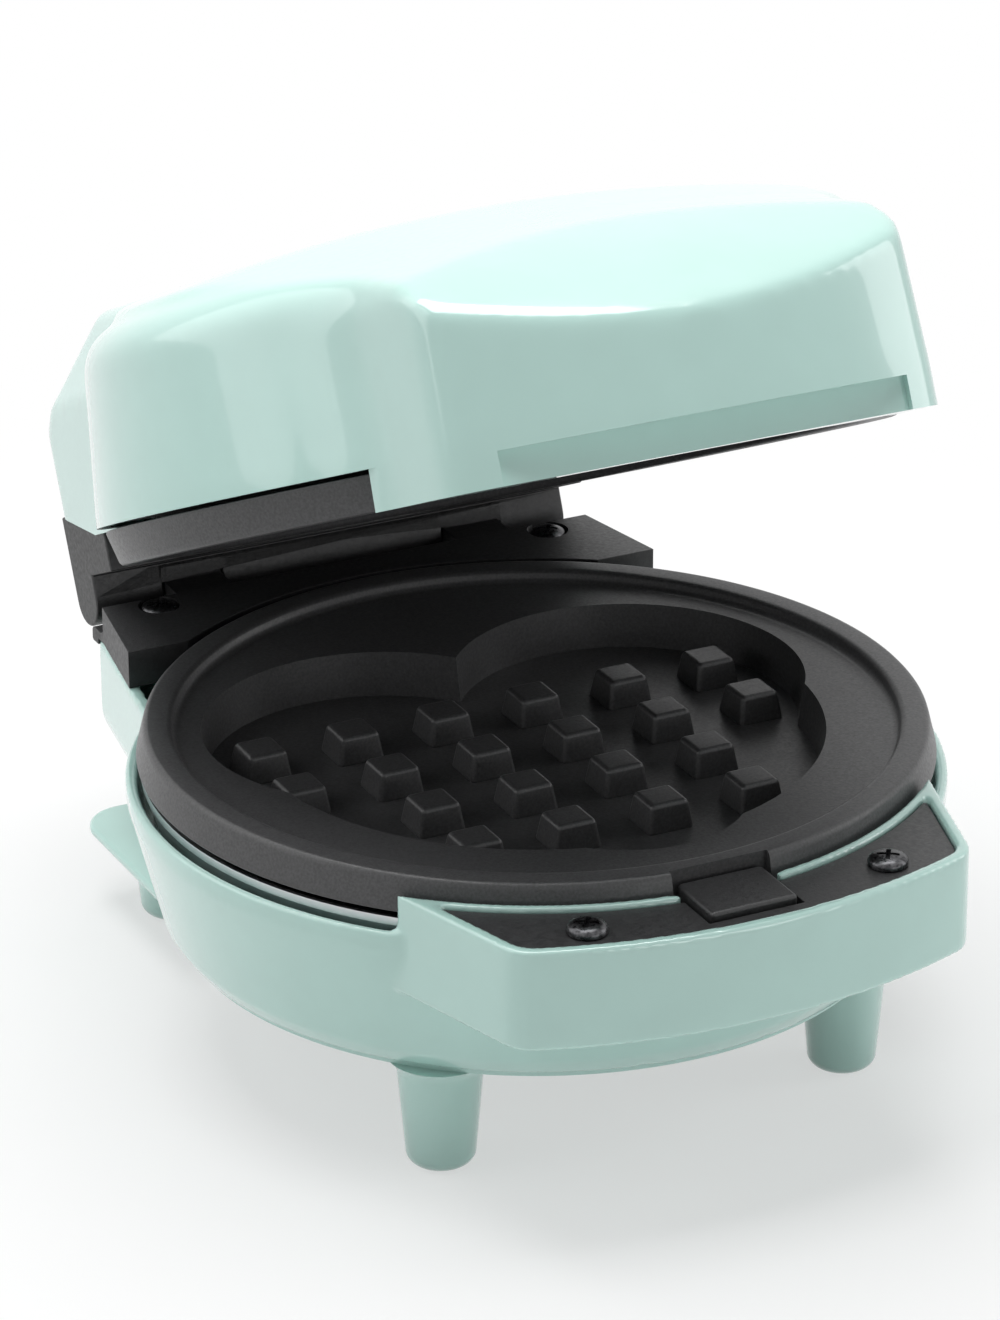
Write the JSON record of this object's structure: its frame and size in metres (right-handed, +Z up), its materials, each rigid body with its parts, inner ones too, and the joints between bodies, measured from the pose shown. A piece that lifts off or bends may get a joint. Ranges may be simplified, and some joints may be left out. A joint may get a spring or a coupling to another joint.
{
  "type": "waffle maker",
  "caption": "Compact heart-shaped waffle maker with a round base, a front handle, coated plates and a hinged domed lid held part open.",
  "frame": {"origin": "on the table under the middle of the part's outer box, with the lid open by 25 degrees", "axes": "+Z up, -Y towards the handle, +X to the right seen from the handle"},
  "size_m": [0.1512, 0.2048, 0.1662],
  "materials": {
    "mint_plastic": "gloss moulded",
    "black_plastic": "fine spark texture",
    "coated_plate": "non-stick coating, satin",
    "reflector_sheet": "spun, satin",
    "screw_steel": "zinc plated",
    "ceramic": "unglazed",
    "lead_sleeve": "woven glass sleeve"
  },
  "bodies": {
    "base": {"lower_housing": "mint_plastic", "bottom_cover": "mint_plastic", "cord_wrap": "mint_plastic", "hinge_bar": "black_plastic", "front_deck": "black_plastic", "plate_locator": "black_plastic", "deck_screws": "screw_steel", "hinge_bar_screws": "screw_steel", "bottom_cover_screws": "screw_steel", "cord_wrap_screws": "screw_steel", "hinge_pin": "screw_steel", "lower_plate": "coated_plate", "lower_reflector": "reflector_sheet", "lower_heating_element": "screw_steel", "lower_element_clamp": "screw_steel", "lower_clamp_screw": "screw_steel", "lower_plate_screws": "screw_steel", "thermostat": "ceramic", "thermal_fuse": "screw_steel", "terminal_block": "ceramic", "lower_leads": "lead_sleeve", "cord_gland": "black_plastic"},
    "lid": {"upper_housing": "mint_plastic", "hinge_block": "black_plastic", "hinge_block_screws": "screw_steel", "upper_plate": "coated_plate", "upper_reflector": "reflector_sheet", "upper_heating_element": "screw_steel", "upper_element_clamp": "screw_steel", "upper_clamp_screw": "screw_steel", "upper_plate_screws": "screw_steel", "upper_leads": "lead_sleeve"}
  },
  "joints": [
    {"name": "lid_hinge", "type": "hinge", "parent": "base", "child": "lid", "pos_m": [0, 0.08146, 0.058], "axis": [-1, 0, 0], "range_deg": [-25, 70]}
  ]
}
